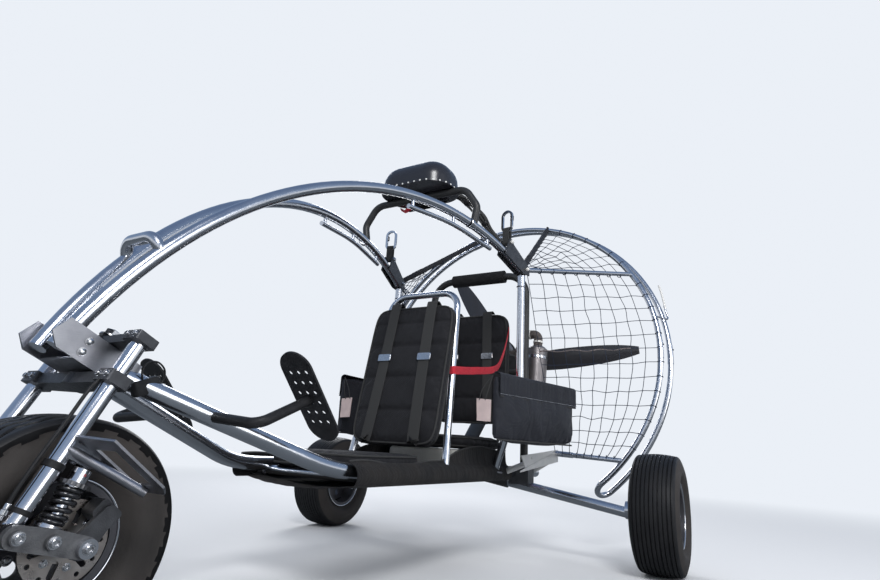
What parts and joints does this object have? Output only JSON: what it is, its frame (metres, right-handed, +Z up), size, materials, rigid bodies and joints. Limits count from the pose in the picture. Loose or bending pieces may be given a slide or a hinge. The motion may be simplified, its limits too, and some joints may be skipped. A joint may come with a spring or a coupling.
{
  "type": "paramotor trike",
  "caption": "Parked tandem paramotor trike: two frame hoops, steered front wheel with trailing-link fork, seats, rear engine, caged propeller and reserve container.",
  "frame": {"origin": "middle of the outer box at floor level", "axes": "+X forward, +Y to the occupants' left, +Z up"},
  "size_m": [2.4031, 1.6854, 1.5987],
  "materials": {
    "tyre_rubber": "matt, low pressure",
    "wheel_paint": "satin dark paint",
    "brake_steel": "brown-grey, worn",
    "polished_steel": "polished stainless",
    "brushed_sheet": "brushed stainless",
    "dark_cast": "dark grey cast",
    "black_tube": "black, wrapped in places",
    "grey_forged": "blasted grey",
    "spring_black": "gloss black",
    "black_cloth": "woven black",
    "black_webbing": "webbing",
    "foam_black": "foam sleeve",
    "container_shell": "gloss black",
    "tank_plastic": "translucent white-grey",
    "pedal_black": "matt black",
    "engine_alloy": "cast alloy",
    "engine_black": "black heat paint",
    "belt_rubber": "ribbed",
    "blade_carbon": "dark carbon",
    "hub_alloy": "turned",
    "exhaust_steel": "dull grey"
  },
  "bodies": {
    "frame": {"hoop_left": "polished_steel", "hoop_right": "polished_steel", "hoop_braces": "polished_steel", "rail_left": "polished_steel", "rail_right": "polished_steel", "steering_head": "brushed_sheet", "cross_tubes": "polished_steel", "front_seat_hoop": "polished_steel", "uprights": "polished_steel", "axle_legs": "polished_steel", "axle_sleeve": "black_tube", "axle_clamps": "dark_cast", "roll_bar": "black_tube", "roll_bar_pad": "foam_black", "side_racks": "brushed_sheet", "hang_brackets": "brushed_sheet", "hang_straps": "black_webbing", "carabiners": "polished_steel", "cage_front_ring": "polished_steel", "cage_rear_ring": "polished_steel", "cage_struts": "polished_steel", "cage_top_struts": "black_tube", "reserve_bridge": "black_tube", "reserve_container": "container_shell", "front_seat_cushion": "black_cloth", "front_seat_back": "black_cloth", "rear_seat_cushion": "black_cloth", "rear_seat_back": "black_cloth", "seat_belly": "black_cloth", "fuel_tank": "tank_plastic", "side_bags": "black_cloth", "pedals": "pedal_black", "crankcase": "engine_alloy", "engine_cylinder": "engine_black", "engine_mount": "dark_cast", "lower_pulley": "hub_alloy", "drive_belt": "belt_rubber", "exhaust_pipe": "exhaust_steel", "silencer": "exhaust_steel", "airbox": "engine_black"},
    "steering": {"fork_upper_clamp": "dark_cast", "fork_lower_clamp": "dark_cast", "fork_legs": "polished_steel", "fork_links": "grey_forged", "shocks": "polished_steel", "shock_springs": "spring_black", "foot_steps": "brushed_sheet", "front_axle": "polished_steel", "brake_caliper": "dark_cast"},
    "front_wheel": {"tyre_front": "tyre_rubber", "rim_front": "wheel_paint", "brake_disc": "brake_steel"},
    "rear_wheel_left": {"tyre_rear_left": "tyre_rubber", "rim_rear_left": "wheel_paint"},
    "rear_wheel_right": {"tyre_rear_right": "tyre_rubber", "rim_rear_right": "wheel_paint"},
    "propeller": {"propeller_hub": "hub_alloy", "propeller_blades": "blade_carbon"}
  },
  "joints": [
    {"name": "steering_turn", "type": "hinge", "parent": "frame", "child": "steering", "pos_m": [0.9696, 0, 0.505], "axis": [-0.4099, 0, 0.9121], "range_deg": [-30, 30]},
    {"name": "front_wheel_spin", "type": "hinge", "parent": "steering", "child": "front_wheel", "pos_m": [0.9976, 0, 0.204], "axis": [0, 1, 0], "continuous": true},
    {"name": "rear_left_spin", "type": "hinge", "parent": "frame", "child": "rear_wheel_left", "pos_m": [-0.6844, 0.76, 0.205], "axis": [0, 1, 0], "continuous": true},
    {"name": "rear_right_spin", "type": "hinge", "parent": "frame", "child": "rear_wheel_right", "pos_m": [-0.6844, -0.76, 0.205], "axis": [0, 1, 0], "continuous": true},
    {"name": "propeller_spin", "type": "hinge", "parent": "frame", "child": "propeller", "pos_m": [-0.9874, 0, 0.832], "axis": [0.988, 0, 0.1547], "continuous": true}
  ]
}
